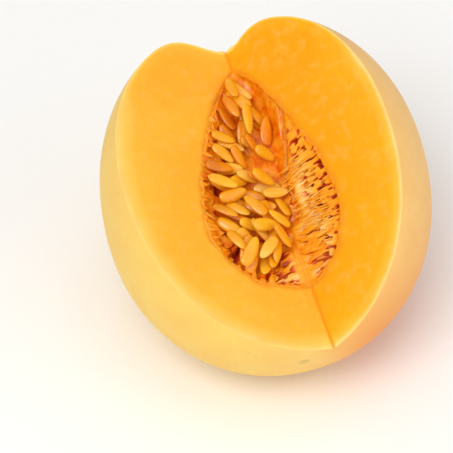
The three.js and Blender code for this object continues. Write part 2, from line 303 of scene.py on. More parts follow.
class CutShell:
    """A closed skin between an inner and an outer reach from the heart, round the back of the melon.

    It has four sheets: outer, inner, and the two cut faces, which share the crease. Points are numbered once,
    so the sheets join.
    """

    TUCKED_STEPS, TUCK_RISE = 13, 0.06

    def __init__(self, turns, tilts, inner, outer, face_shares):
        self.tilts, self.shares = tilts, face_shares
        self.points, self.faces, self.sheets = [], [], []
        self.sheet_points = {}
        self.numbers = {}
        rays = ray_grid(turns, tilts)
        self.rays, self.inner, self.outer = rays, inner, outer
        last_turn, last_share = len(turns) - 1, len(face_shares) - 1
        self._sheet("outer", [[(j, i, last_share) for i in range(len(tilts))] for j in range(len(turns))])
        self._sheet("inner", [[(j, i, 0) for i in range(len(tilts))] for j in range(last_turn, -1, -1)])
        shares = range(last_share + 1)
        self._sheet("right", [[(0, i, k) for i in range(len(tilts))] for k in shares])
        self._sheet("left", [[(last_turn, i, k) for i in range(len(tilts))] for k in reversed(shares)])
        self.points = np.array(self.points)

    def sheet_values(self, name, grid):
        """A grid of values (turn, tilt) as one value for each point of the inner or outer sheet."""
        share = 0 if name == "inner" else len(self.shares) - 1
        values = {number: grid[j, i] for (j, i, k), number in self.numbers.items() if k == share}
        return np.array([values[number] for number in self.sheet_points[name]])

    def tuck(self, normal, column):
        """Keeps the inner sheet from standing up past the edge of a face that has been carved down."""
        inward = 1 if column == 0 else -1
        for i in range(1, len(self.tilts) - 1):
            edge_depth = (HEART - self.points[self.numbers[(column, i, 0)]]) @ normal
            for step in range(1, self.TUCKED_STEPS + 1):
                number = self.numbers[(column + inward * step, i, 0)]
                short = edge_depth + self.TUCK_RISE * step - (HEART - self.points[number]) @ normal
                if short > 0:
                    self.points[number] -= short * normal

    def _number(self, place):
        """The number of the point at a (turn, tilt, share) step, made when it is first asked for."""
        j, i, k = place
        key = (0, i, k) if i in (0, len(self.tilts) - 1) else place
        if key not in self.numbers:
            self.numbers[key] = len(self.points)
            near, far = self.inner[key[0], i], self.outer[key[0], i]
            distance = near + (far - near) * self.shares[k]
            self.points.append(HEART + self.rays[key[0], i] * distance)
        return self.numbers[key]

    def _sheet(self, name, rows):
        """Joins rows of steps into faces of one sheet."""
        numbers = [[self._number(place) for place in row] for row in rows]
        self.sheet_points[name] = np.unique(np.concatenate([np.array(row) for row in numbers]))
        for first, second in zip(numbers, numbers[1:]):
            for i in range(len(first) - 1):
                corners = [first[i], first[i + 1], second[i + 1], second[i]]
                face = [c for n, c in enumerate(corners) if c != corners[n - 1]]
                if len(face) > 2 and len(set(face)) == len(face):
                    self.faces.append(face)
                    self.sheets.append(name)


def face_outward(piece):
    """Turns every face of a closed mesh to look outward."""
    mesh = bmesh.new()
    mesh.from_mesh(piece.data)
    bmesh.ops.recalc_face_normals(mesh, faces=mesh.faces)
    mesh.to_mesh(piece.data)
    mesh.free()


def nearest_gap(points, line):
    """The distance from each point to the nearest point of a line, in millimetres."""
    gaps = []
    for part in np.array_split(points, WORK_PARTS):
        gaps.append(np.min(np.linalg.norm(line[None] - part[:, None], axis=2), axis=1))
    return np.concatenate(gaps)


# ---------------------------------------------------------------- materials


def add_node(tree, kind, inputs=None, **settings):
    """A node with its settings. An input given as a socket is linked, and anything else is its value."""
    node = tree.nodes.new(kind)
    for key, value in settings.items():
        setattr(node, key, value)
    for key, value in (inputs or {}).items():
        if isinstance(value, bpy.types.NodeSocket):
            tree.links.new(value, node.inputs[key])
        else:
            node.inputs[key].default_value = value
    return node


def new_material(name):
    """An empty node material and its tree."""
    material = bpy.data.materials.new(name)
    material.use_nodes = True
    material.node_tree.nodes.clear()
    return material, material.node_tree


def finish_material(tree, surface):
    """Ends a material in one shader with these surface values."""
    shader = add_node(tree, "ShaderNodeBsdfPrincipled", surface)
    add_node(tree, "ShaderNodeOutputMaterial", {"Surface": shader.outputs[0]})


def colour_ramp(tree, factor, stops):
    """Colours along a factor, from (place, hex colour) stops."""
    node = add_node(tree, "ShaderNodeValToRGB", {"Fac": factor})
    elements = node.color_ramp.elements
    while len(elements) < len(stops):
        elements.new(0.5)
    for element, (place, colour) in zip(elements, stops):
        element.position = place
        element.color = srgb(colour)
    return node.outputs["Color"]


def attribute(tree, name):
    """One of the piece's own numbers for each point."""
    return add_node(tree, "ShaderNodeAttribute", attribute_name=name).outputs["Fac"]


def scaled(tree, value, low, high):
    """A value mapped so that low gives 0 and high gives 1, and kept between them."""
    inputs = {"Value": value, "From Min": low, "From Max": high}
    return add_node(tree, "ShaderNodeMapRange", inputs).outputs["Result"]


def mixed(tree, factor, first, second, blend="MIX"):
    """Two colours mixed. Inputs 6 and 7 are the node's colours, and output 2 is its colour."""
    inputs = {0: factor, 6: first, 7: second}
    return add_node(tree, "ShaderNodeMix", inputs, data_type="RGBA", blend_type=blend).outputs[2]


def times(tree, first, second):
    return add_node(tree, "ShaderNodeMath", {0: first, 1: second}, operation="MULTIPLY").outputs[0]


def plus(tree, first, second):
    return add_node(tree, "ShaderNodeMath", {0: first, 1: second}, operation="ADD").outputs[0]


def object_place(tree):
    """The surface's place in the frame, in metres."""
    return add_node(tree, "ShaderNodeTexCoord").outputs["Object"]


def grain(tree, place, size_mm, detail=3.0, roughness=0.5):
    """Noise whose lumps are about size_mm across."""
    inputs = {"Vector": place, "Scale": 1 / (size_mm * MM), "Detail": detail, "Roughness": roughness}
    return add_node(tree, "ShaderNodeTexNoise", inputs).outputs["Fac"]


def bumped(tree, height, depth_mm, strength):
    """Fine relief too small to model, depth_mm deep."""
    inputs = {"Height": height, "Distance": depth_mm * MM, "Strength": strength}
    return add_node(tree, "ShaderNodeBump", inputs).outputs["Normal"]


def flesh_material(colours):
    """Ripe, knife-cut melon flesh. It is smooth and moist, glows a little, and pales towards the rind."""
    material, tree = new_material("ripe_melon_flesh")
    place = object_place(tree)
    depth = attribute(tree, "depth_mm")
    core = attribute(tree, "core_mm")
    wavy = scaled(tree, plus(tree, depth, times(tree, grain(tree, place, 9.0), 2.0)), 0.0, 30.0)
    # The two cut faces are coloured apart: the left face's paler ramp holds a painted sheen, and the right
    # face's deeper orange ramp is the flesh without it.
    towards_rind = colour_ramp(
        tree,
        wavy,
        [(0.0, "#d9d070"), (0.04, "#ffdf88"), (0.14, "#ffd060"), (0.32, "#ffbc3c"), (1.0, colours.flesh_hex)],
    )
    right_face_without_painted_sheen = colour_ramp(
        tree,
        wavy,
        [(0.0, "#eecf78"), (0.06, "#ffdf90"), (0.11, "#ffc542"), (0.26, "#ffb012"), (1.0, "#ffa600")],
    )
    # The right_face mask swaps in the right face's ramp, so the left face keeps its painted sheen.
    towards_rind = mixed(tree, attribute(tree, "right_face"), towards_rind, right_face_without_painted_sheen)
    cloud = scaled(tree, grain(tree, place, 22.0), 0.35, 0.65)
    clouded = mixed(tree, cloud, towards_rind, mixed(tree, 0.3, towards_rind, srgb("#ffa41c")))
    blotch = scaled(tree, grain(tree, place, 5.0, 5.0, 0.65), 0.5, 0.75)
    blotched = mixed(tree, times(tree, blotch, 0.35), clouded, srgb("#ffc86e"))
    # Deeper orange near the cavity is the flesh's own colour; along the crease it is painted shade.
    near_core = scaled(tree, core, 3.2, 0.0)
    colour = mixed(tree, near_core, blotched, srgb("#f99718"))
    cells = add_node(tree, "ShaderNodeTexVoronoi", {"Vector": place, "Scale": 1 / (1.1 * MM)})
    cell_height = bumped(tree, cells.outputs["Distance"], 0.05, 0.5)
    finish_material(
        tree,
        {
            "Base Color": colour,
            "Roughness": 0.42,
            "Specular IOR Level": 0.2,
            "Subsurface Weight": 0.35,
            "Subsurface Radius": (1.0, 0.42, 0.12),
            "Subsurface Scale": 0.004,
            "Normal": cell_height,
        },
    )
    return material


def rind_material(colours):
    """Smooth melon rind, pale yellow to peach with a green cast by the stem. It has a soft satin shine."""
    material, tree = new_material("satin_melon_rind")
    place = object_place(tree)
    warm = scaled(tree, attribute(tree, "warm_side"), 0.0, 1.0)
    base = mixed(tree, warm, srgb(colours.rind_left_hex), srgb(colours.rind_right_hex))
    mottle = scaled(tree, grain(tree, place, 14.0, 4.0), 0.35, 0.7)
    # Painted bounce light: the low right side of the rind is tinted deeper orange, as if lit by light thrown
    # up from below.
    base = mixed(tree, attribute(tree, "low_side_painted_bounce"), base, srgb("#f48a12"))
    mottled = mixed(tree, mottle, base, mixed(tree, 0.3, base, srgb("#f5b050")))
    stem = scaled(tree, attribute(tree, "stem_mm"), 46.0, 14.0)
    colour = mixed(tree, stem, mottled, srgb("#d8c46a"))
    specks = scaled(tree, grain(tree, place, 1.6, 2.0), 0.66, 0.74)
    speckled = mixed(tree, specks, colour, mixed(tree, 0.25, colour, srgb("#b98d3c")))
    cork = mixed(tree, grain(tree, place, 1.0, 4.0), srgb("#cfa24e"), srgb("#f0cc7c"))
    speckled = mixed(tree, attribute(tree, "scar"), speckled, cork)
    skin_height = bumped(tree, grain(tree, place, 2.4, 4.0), 0.08, 0.4)
    finish_material(
        tree,
        {
            "Base Color": speckled,
            "Roughness": 0.5,
            "Specular IOR Level": 0.25,
            "Subsurface Weight": 0.12,
            "Subsurface Radius": (1.0, 0.5, 0.2),
            "Subsurface Scale": 0.003,
            "Coat Weight": 0.04,
            "Coat Roughness": 0.3,
            "Normal": skin_height,
        },
    )
    return material


def pulp_material(colours):
    """Wet seed pulp: orange jelly with paler stringy fibre, shiny where it is wet, with painted shade in its
    slits and pits.
    """
    material, tree = new_material("wet_seed_pulp")
    place = object_place(tree)
    pale = attribute(tree, "pale")
    jelly = colour_ramp(
        tree,
        scaled(tree, grain(tree, place, 3.5, 4.0), 0.3, 0.72),
        [(0.0, "#ea6400"), (0.45, colours.jelly_hex), (1.0, "#ffb22a")],
    )
    fibre_stops = [(0.0, "#ff9806"), (0.35, "#ffb018"), (0.6, "#ffc242"), (1.0, "#ffdf92")]
    fibre = colour_ramp(tree, pale, fibre_stops)
    # The hairs run out along the fan, about ten times as long as they are thick.
    fan = {"X": attribute(tree, "along_mm"), "Y": attribute(tree, "across_mm")}
    run = add_node(tree, "ShaderNodeCombineXYZ", fan).outputs[0]
    stretch = {"Vector": run, "Scale": (0.16, 1.6, 1)}
    stretched = add_node(tree, "ShaderNodeMapping", stretch).outputs["Vector"]
    hair_noise = {"Vector": stretched, "Scale": 1.0, "Detail": 4.0}
    hairs = add_node(tree, "ShaderNodeTexNoise", hair_noise).outputs["Fac"]
    streaked = mixed(tree, scaled(tree, hairs, 0.35, 0.65), mixed(tree, 0.3, fibre, srgb("#f47e00")), fibre)
    dry = scaled(tree, attribute(tree, "fibrous"), 0.25, 0.75)
    body = mixed(tree, dry, jelly, streaked)
    # Painted shade: the slits and pits are darkened to brown, as shade would darken them.
    slit = attribute(tree, "slit")
    painted_slit_shade = colour_ramp(tree, slit, [(0.0, "#ffffff"), (0.3, "#e08440"), (1.0, "#7e2c08")])
    rimmed = mixed(tree, attribute(tree, "edge"), body, srgb("#fb9c14"))
    colour = mixed(tree, 1.0, rimmed, painted_slit_shade, "MULTIPLY")
    heights = mixed(tree, dry, grain(tree, place, 1.4, 3.0), hairs)
    wet_height = bumped(tree, heights, 0.35, 0.6)
    finish_material(
        tree,
        {
            "Base Color": colour,
            "Roughness": 0.3,
            "Specular IOR Level": 0.45,
            "Subsurface Weight": 0.15,
            "Subsurface Radius": (1.0, 0.55, 0.1),
            "Subsurface Scale": 0.002,
            "Normal": wet_height,
        },
    )
    return material


def seed_material(name, stops):
    """A wet melon seed coat: smooth, waxy and a little see-through, with a film of juice that shines."""
    material, tree = new_material(name)
    place = object_place(tree)
    tone = attribute(tree, "tone")
    varied = plus(tree, tone, times(tree, grain(tree, place, 3.0), 0.35))
    colour = colour_ramp(tree, scaled(tree, varied, 0.1, 1.1), stops)
    finish_material(
        tree,
        {
            "Base Color": colour,
            "Roughness": 0.3,
            "Specular IOR Level": 0.35,
            "Subsurface Weight": 0.3,
            "Subsurface Radius": (1.0, 0.5, 0.12),
            "Subsurface Scale": 0.0012,
            "Coat Weight": 0.5,
            "Coat Roughness": 0.06,
        },
    )
    return material


def table_material(colours):
    """A plain pale matt board."""
    material, tree = new_material("pale_matt_board")
    finish_material(tree, {"Base Color": srgb(colours.floor_hex), "Roughness": 0.85})
    return material


# ---------------------------------------------------------------- the melon body


def end_heavy(count, span):
    """Steps over a span that are finer at both ends."""
    even = np.linspace(0, 1, count)
    eased = 0.5 - 0.5 * np.cos(math.pi * even)
    return span * (0.45 * even + 0.55 * eased)


# How far a cut face is sunk below the plain cut, all over and at the lip of the cavity, in millimetres.
FACE_SINK, LIP_SINK, LIP_WIDTH = 0.25, {"right": 0.15, "left": 0.55}, 2.2
# What the flesh's colour reads where it isn't measured: the depth under the rind inside the cavity, and the
# distance from the cavity out at the rind.
CAVITY_DEPTH, FAR_FROM_CAVITY = 25.0, 60.0
# Above 1, the mesh steps across a cut face crowd towards the cavity.
FACE_STEP_POWER = 1.15
# How much faster the deeper colour round the cavity fades away from the crease than from the cavity. Along
# the crease it is painted shade.
CREASE_SHADE_FADE = 2.6
# The corky scars, from their outer edge to where they are full: of the stem, and of the blossom.
STEM_SCAR, BLOSSOM_SCAR = (7.0, 5.6), (2.9, 1.6)
STEM_RING, STEM_RING_WIDTH, STEM_RING_HEIGHT, STEM_PIT = 6.2, 1.3, 0.9, 0.7
BODY_SHARP_ANGLE = 50


def add_scars(points, skin):
    """Shapes the scars of the stem and the blossom, and gives how corky each point of the skin is."""
    from_axis = np.hypot(points[skin, 0], points[skin, 1])
    upper = points[skin, 2] > 0
    cork = smooth_step(*STEM_SCAR, from_axis) * upper + smooth_step(*BLOSSOM_SCAR, from_axis) * ~upper
    ring = np.exp(-(((from_axis - STEM_RING) / STEM_RING_WIDTH) ** 2)) * upper
    pit = smooth_step(5.5, 0.0, from_axis) * upper
    cracks = soft_noise(points[skin], (1.3,) * 3, 61) - 0.5
    points[skin, 2] += STEM_RING_HEIGHT * ring - STEM_PIT * pit + 0.6 * cracks * cork
    return cork


def build_body(settings, colours):
    """The flesh and rind in one closed skin: torn a little at the cavity, waved a little by the knife."""
    turns = end_heavy(settings.body_turns, FULL_TURN)
    tilts = np.linspace(0, math.pi, settings.body_tilts)
    rays = ray_grid(turns, tilts)
    outer = reach(in_skin, rays)
    inner = reach(in_cavity, rays)
    edge = HEART + rays * inner[..., None]
    tear = layered_noise(edge.reshape(-1, 3), (7.0,) * 3, 11, 4).reshape(inner.shape) - 0.5
    inner = inner + settings.tear_depth / MM * tear * smooth_step(0.02, 0.2, np.sin(tilts))[None]
    shares = np.linspace(0, 1, settings.body_shares) ** FACE_STEP_POWER
    shell = CutShell(turns, tilts, inner, outer, shares)
    points = shell.points
    depth = np.zeros(len(points))
    core = np.full(len(points), FAR_FROM_CAVITY)
    for name, normal, column in (("right", RIGHT_NORMAL, 0), ("left", LEFT_NORMAL, len(turns) - 1)):
        chosen = shell.sheet_points[name]
        rim = HEART + rays[column] * outer[column][:, None]
        mouth = HEART + rays[column] * inner[column][:, None]
        # The pale edge by the rind is narrower towards the stem end.
        stem_end = smooth_step(35, 62, points[chosen, 2])
        depth[chosen] = nearest_gap(points[chosen], rim) * (1 + 4 * stem_end)
        core[chosen] = nearest_gap(points[chosen], mouth)
        waves = layered_noise(points[chosen], (14, 14, 5), 21) - 0.5
        lip = smooth_step(LIP_WIDTH, 0.0, core[chosen])
        sink = FACE_SINK + settings.knife_waves / MM * waves + LIP_SINK[name] * lip
        keep = smooth_step(0.0, 2.0, depth[chosen])
        points[chosen] -= np.outer(sink * keep, normal)
        shell.tuck(normal, column)
        # The deeper colour is carried along the crease as painted shade in the notch's inside corner.
        from_crease = np.linalg.norm(np.cross(points[chosen] - HEART, CREASE), axis=1)
        core[chosen] = np.minimum(core[chosen], from_crease * CREASE_SHADE_FADE)
    skin = shell.sheet_points["outer"]
    scar = np.zeros(len(points))
    scar[skin] = add_scars(points, skin)
    inside = shell.sheet_points["inner"]
    core[inside] = 0.0
    depth[inside] = CAVITY_DEPTH
    place = laid_places(points)
    place[:, 2] = np.maximum(place[:, 2], 0.0)
    # Marks the right cut face, which is coloured without the left face's painted sheen.
    right_face = np.zeros(len(points))
    right_face[shell.sheet_points["right"]] = 1.0
    attributes = {
        "right_face": right_face,
        "scar": scar,
        # Painted bounce light: strongest low down and towards the right.
        "low_side_painted_bounce": smooth_step(95, 20, place[:, 2] / MM) * smooth_step(0, 35, points[:, 0]),
        "depth_mm": depth,
        "core_mm": core,
        "warm_side": smooth_step(-30, 50, points[:, 0]),
        "stem_mm": np.hypot(points[:, 0], points[:, 1]) + np.where(points[:, 2] < 0, 100.0, 0.0),
    }
    slots = [1 if sheet == "outer" else 0 for sheet in shell.sheets]
    materials = (flesh_material(colours), rind_material(colours))
    piece = add_mesh("melon_flesh_and_rind", place, shell.faces, attributes, materials, slots)
    face_outward(piece)
    piece.data.set_sharp_from_angle(angle=math.radians(BODY_SHARP_ANGLE))
    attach(piece, "root")
    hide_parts("melon_body")


# ---------------------------------------------------------------- the pulp


def fibre_rise(start):
    """How much a fibre rises for each millimetre out, from its height at the crease."""
    return np.tan(np.radians(np.clip(FAN_SLOPE + FAN_SLOPE_GROWTH * start, *FAN_SLOPE_LIMITS)))


def fibre_start(out, height):
    """The height at the crease of the fibre that passes through each place of the right cut face."""
    start = height.copy()
    for _ in range(10):
        start = height - out * fibre_rise(start)
    return start


def fibre_relief(name, out, height):
    """How a cut face of the pulp is carved: its depth, paleness, slits, and the fibre at each place."""
    start = fibre_start(out, height) if name == "right" else height + 0.4 * out
    run = np.column_stack([out, start, np.zeros(len(out))])
    strands = layered_noise(run, (7.0, 1.1, 1.0), 31, 3)
    lumps = soft_noise(run, (5.0, 3.4, 1.0), 35)
    holes = 0.76 * soft_noise(run, (2.5, 0.7, 1.0), 38) + 0.24 * soft_noise(run, (6.0, 4.0, 1.0), 39)
    outer_zone = smooth_step(10.0, 16.0, out) * smooth_step(27.0, 12.0, height)
    bottom = 0.65 * smooth_step(-20, -30, height) * smooth_step(2.0, 6.0, out)
    # The slits are sunk into the face, and the material also darkens them with painted shade.
    slit = smooth_step(0.53, 0.7, holes) * np.maximum(outer_zone if name == "right" else 0.0, bottom)
    sink = 0.4 + 1.0 * (1 - strands) + 0.7 * (1 - lumps) + 2.3 * slit
    centre = smooth_step(1.0, 5.0, out) * smooth_step(24.0, 13.0, out) * smooth_step(16.0, 2.0, height)
    pale = np.clip((0.6 * strands + 0.4 * lumps) * (0.5 + 1.05 * centre), 0, 1)
    return sink, pale, slit, start


# What the bed keeps clear by of the seeds and of its own outside, and how deep its pits are, in millimetres.
PULP_CLEARANCE, PIT_DEPTH = 0.25, 2.6
# The least the bed lies out from the heart.
THINNEST_REACH = 0.6
# How much the pulp rounds off into its hollow, and from how far away.
HOLLOW_ROUNDING, HOLLOW_ROUNDING_WIDTH = 2.6, 5.5


def pulp_bed(settings, turns, tilts, outer):
    """How far out the bed under the seeds lies on each ray, and how deep in a pit each place of it is."""
    rays = ray_grid(turns, tilts)
    hollow = np.minimum(reach(in_hollow, rays), fibre_limit(turns, tilts))
    bed = (HEART + rays * hollow[..., None]).reshape(-1, 3)
    lumps = layered_noise(bed, (4.5, 4.5, 6.5), 41).reshape(hollow.shape) - 0.5
    lumpy = hollow + settings.bed_lumps / MM * (lumps - 0.2)
    inner = np.maximum(lumpy, far_side_of_seeds(rays) + PULP_CLEARANCE)
    # The pits lie in the left part of the bed, clear of its stem end.
    pit = smooth_step(0.6, 0.74, soft_noise(bed, (3.6,) * 3, 47)).reshape(hollow.shape)
    pit *= smooth_step(195, 225, np.degrees(turns))[:, None] * smooth_step(25, 45, np.degrees(tilts))[None]
    return np.clip(inner + PIT_DEPTH * pit, THINNEST_REACH, outer - PULP_CLEARANCE), pit


def build_pulp(settings, colours):
    """The pulp in one closed skin: a lumpy bed that gives way to the seeds, and a stringy cut face."""
    turns = end_heavy(settings.pulp_turns, FULL_TURN)
    tilts = np.linspace(0, math.pi, settings.pulp_tilts)
    rays = ray_grid(turns, tilts)
    outer = reach(lambda p: in_cavity(p, settings.pulp_overlap / MM), rays)
    inner, pit = pulp_bed(settings, turns, tilts, outer)
    shell = CutShell(turns, tilts, inner, outer, np.linspace(0, 1, settings.pulp_shares))
    points = shell.points
    fibrous, pale, slit, along_mm, across_mm, edge = (np.zeros(len(points)) for _ in range(6))
    # The pits in the bed get the same painted shade as the slits.
    slit[shell.sheet_points["inner"]] = shell.sheet_values("inner", pit)
    for name, normal, along, column in (
        ("right", RIGHT_NORMAL, RIGHT_OUT, 0),
        ("left", LEFT_NORMAL, LEFT_OUT, len(turns) - 1),
    ):
        chosen = shell.sheet_points[name]
        here = points[chosen]
        out = (here - HEART) @ along
        rim = HEART + rays[column] * outer[column][:, None]
        hollow_edge = HEART + rays[column] * inner[column][:, None]
        to_rim, to_hollow = nearest_gap(here, rim), nearest_gap(here, hollow_edge)
        sink, pale[chosen], slit[chosen], across_mm[chosen] = fibre_relief(name, out, here[:, 2])
        along_mm[chosen] = out
        from_crease = np.linalg.norm(np.cross(here - HEART, CREASE), axis=1)
        sink *= 0.35 + 0.65 * smooth_step(0.0, 3.5, from_crease)
        rounded = HOLLOW_ROUNDING * smooth_step(HOLLOW_ROUNDING_WIDTH, 0.0, to_hollow) ** 2
        to_rim = to_rim + 2.2 * (layered_noise(here, (3.4,) * 3, 51) - 0.5)
        fade = smooth_step(1.0, 3.6, to_rim)
        rough = layered_noise(here, (2.2,) * 3, 55, 2) - 0.5
        border = 0.35 + 0.6 * smooth_step(1.5, 0.0, to_rim) + 1.1 * rough
        points[chosen] -= np.outer((sink + rounded) * fade + border * (1 - fade), normal)
        low = smooth_step(-24, -34, here[:, 2])
        fibrous[chosen] = smooth_step(0.0, 1.5, to_hollow) if name == "right" else 0.3 + 0.5 * low
        pale[chosen] *= smooth_step(0.5, 6.0, to_hollow)
        slit[chosen] *= fade
        edge[chosen] = smooth_step(4.5, 1.5, to_rim)
        shell.tuck(normal, column)
    attributes = {"fibrous": fibrous, "pale": pale, "slit": slit, "edge": edge}
    attributes |= {"along_mm": along_mm, "across_mm": across_mm}
    materials = (pulp_material(colours),)
    piece = add_mesh("seed_pulp_detail", laid_places(points), shell.faces, attributes, materials)
    face_outward(piece)
    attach(piece, "root")
    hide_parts("seed_pulp")


# ---------------------------------------------------------------- loose threads and torn flesh


RIBBON_AROUND = 8
THREAD_STEPS, SHRED_STEPS = 20, 10
# How far a torn tongue starts behind the cavity's edge, in millimetres.
SHRED_ROOT = 1.6


def add_ribbons(name, ribbons, material, tones):
    """One mesh of closed ribbons. Each ribbon is its middle line, its width direction and its half sizes."""
    points, faces, tone = [], [], []
    around = RIBBON_AROUND
    angles = np.linspace(0, 2 * math.pi, around, endpoint=False)
    for (line, wide, half_width, half_thickness), shade in zip(ribbons, tones):
        first = len(points)
        steps = len(line)
        forward = np.gradient(line, axis=0)
        forward /= np.linalg.norm(forward, axis=1)[:, None]
        side = wide - forward * np.sum(forward * wide, axis=1)[:, None]
        side /= np.linalg.norm(side, axis=1)[:, None]
        lift = np.cross(forward, side)
        for n in range(steps):
            across = np.outer(np.cos(angles) * half_width[n], side[n])
            through = np.outer(np.sin(angles) * half_thickness[n], lift[n])
            points.extend(line[n] + (across + through))
        tone.extend([shade] * (steps * around))
        for n in range(steps - 1):
            low = first + n * around
            for k in range(around):
                after = (k + 1) % around
                faces.append((low + k, low + after, low + around + after, low + around + k))
        faces.append(tuple(first + k for k in reversed(range(around))))
        faces.append(tuple(first + (steps - 1) * around + k for k in range(around)))
    piece = add_mesh(name, laid_places(np.array(points)), faces, {"tone": tone}, (material,))
    face_outward(piece)
    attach(piece, "root")
    return piece


def thread_material(name, stops, roughness):
    """Moist melon fibre: soft, a little see-through, with a fine shine along it."""
    material, tree = new_material(name)
    varied = times(tree, attribute(tree, "tone"), grain(tree, object_place(tree), 2.5))
    colour = colour_ramp(tree, scaled(tree, varied, 0.05, 0.65), stops)
    finish_material(
        tree,
        {
            "Base Color": colour,
            "Roughness": roughness,
            "Subsurface Weight": 0.1,
            "Subsurface Radius": (1.0, 0.6, 0.12),
            "Subsurface Scale": 0.001,
        },
    )
    return material


def right_face_place(out, height, depth):
    """Places on the right cut face, or depth under it."""
    along = (height - HEART_HEIGHT) / CREASE[2]
    return HEART + np.outer(out, RIGHT_OUT) + np.outer(along, CREASE) - np.outer(depth, RIGHT_NORMAL)


def build_threads(settings):
    """Loose strings of fibre that lie over the cut pulp and follow its fan."""
    draws = np.random.default_rng(17)
    ribbons, tones = [], []
    while len(ribbons) < settings.threads:
        thick = len(ribbons) < settings.thick_threads
        start = draws.uniform(-41, -24) if thick else draws.uniform(-34, 26)
        first = draws.uniform(0.0, 5.0) if thick else draws.uniform(1.0, 17.0)
        length = draws.uniform(7.0, 13.0) if thick else draws.uniform(5.0, 16.0)
        out = np.linspace(first, first + length, THREAD_STEPS)
        wave = draws.uniform(0.2, 0.8) * np.sin(out * draws.uniform(0.25, 0.7) + draws.uniform(0, 6))
        height = start + out * fibre_rise(start) + wave
        sunk = draws.uniform(0.2, 0.8) if thick else draws.uniform(0.7, 1.6)
        sway = 0.35 * np.sin(out * draws.uniform(0.3, 0.8) + draws.uniform(0, 6))
        line = right_face_place(out, height, sunk + sway)
        if not in_cavity(line, -1.5).all() or in_hollow(line).any() and start > 4:
            continue
        share = np.linspace(0, 1, THREAD_STEPS)
        taper = np.maximum(np.sin(math.pi * share) ** (0.6 if thick else 0.35), 0.08)
        half = draws.uniform(0.7, 1.3) if thick else draws.uniform(0.12, 0.34)
        ribbons.append((line, CREASE, half * taper, (0.6 if thick else 0.7) * half * taper))
        tones.append(draws.uniform(0.1, 0.7) if thick else draws.uniform(0.3, 1.15))
    stops = [(0.0, "#ff9004"), (0.4, "#ffa614"), (0.75, "#ffb834"), (1.0, "#ffd070")]
    add_ribbons("pulp_threads", ribbons, thread_material("stringy_melon_fibre", stops, 0.35), tones)


def build_shreds(settings):
    """Torn tongues of flesh that hang over the seeds from the cavity's left edge."""
    draws = np.random.default_rng(29)
    ribbons, tones = [], []
    for tilt in np.linspace(0.32, 2.75, settings.shreds):
        tilt += draws.uniform(-0.03, 0.03)
        ray = ray_grid([FULL_TURN], [tilt])[0]
        root = HEART + ray[0] * reach(in_cavity, ray[None])[0, 0]
        ahead = ray_grid([FULL_TURN], [tilt + 0.02])[0]
        along_edge = HEART + ahead[0] * reach(in_cavity, ahead[None])[0, 0] - root
        along_edge /= np.linalg.norm(along_edge)
        inward = np.cross(LEFT_NORMAL, along_edge)
        if inward @ (HEART - root) < 0:
            inward = -inward
        length = draws.uniform(2.5, 6.5)
        share = np.linspace(0, 1, SHRED_STEPS)
        bend = draws.uniform(-0.5, 0.5)
        droop = draws.uniform(0.05, 0.5)
        reach_in = (length + SHRED_ROOT) * share - SHRED_ROOT
        line = root + np.outer(reach_in, inward) + np.outer(bend * length * share**2, along_edge)
        line -= np.outer(0.75 + droop * length * share**1.6, LEFT_NORMAL)
        half = draws.uniform(1.0, 2.6) * np.maximum(1 - share**1.4, 0.05)
        thin = draws.uniform(0.3, 0.6) * np.maximum(1 - share**1.8, 0.08)
        ribbons.append((line, along_edge, half, thin))
        tones.append(draws.uniform(0.3, 1.1))
    stops = [(0.0, "#e86604"), (0.4, "#f98a0c"), (0.75, "#ffa828"), (1.0, "#ffc660")]
    add_ribbons("flesh_shreds", ribbons, thread_material("torn_wet_flesh", stops, 0.25), tones)


# ---------------------------------------------------------------- the seeds


def seed_frame(node):
    """A CAD seed's middle, its axes (width, thickness, length towards the round end) and its size."""
    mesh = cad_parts[node].data
    points = np.array([v.co for v in mesh.vertices])
    faces = np.array([list(p.vertices)[:3] for p in mesh.polygons])
    corners = points[faces]
    areas = np.linalg.norm(np.cross(corners[:, 1] - corners[:, 0], corners[:, 2] - corners[:, 0]), axis=1)
    weighed = (corners.mean(1) * areas[:, None]).sum(0) / areas.sum()
    samples = corners.mean(1) - weighed
    values, axes = np.linalg.eigh((samples * areas[:, None]).T @ samples)
    thick, wide, long = axes.T
    spans = {}
    middle = np.zeros(3)
    for key, axis in (("thick", thick), ("wide", wide), ("long", long)):
        along = points @ axis
        spans[key] = along.max() - along.min()
        middle += axis * (along.max() + along.min()) / 2
    if (weighed - middle) @ long < 0:
        long = -long
    thick = np.cross(long, wide)
    return middle, wide, thick, long, spans


SEED_RINGS, SEED_AROUND = 30, 22
SEED_WIDEST, SEED_BLUNTNESS = 0.6, 0.84
# A seed's bend as a share of its width, and the dent along its middle as a share of its thickness.
MOST_SEED_BEND, DEEPEST_SEED_DENT = 0.05, 0.16
# Above 1 the seed's section is a little sharper at its rim than an ellipse.
SEED_RIM_POWER = 1.15
# How many of the seeds are golden, pale and amber.
SEED_SHARES = (0.62, 0.18, 0.2)


def seed_outline(share):
    """A seed's width as a share of its widest, at a share of its length from the pointed end."""
    tip, end = SEED_BLUNTNESS * SEED_WIDEST, SEED_BLUNTNESS * (1 - SEED_WIDEST)
    widest = SEED_WIDEST**tip * (1 - SEED_WIDEST) ** end
    return share**tip * (1 - share) ** end / widest


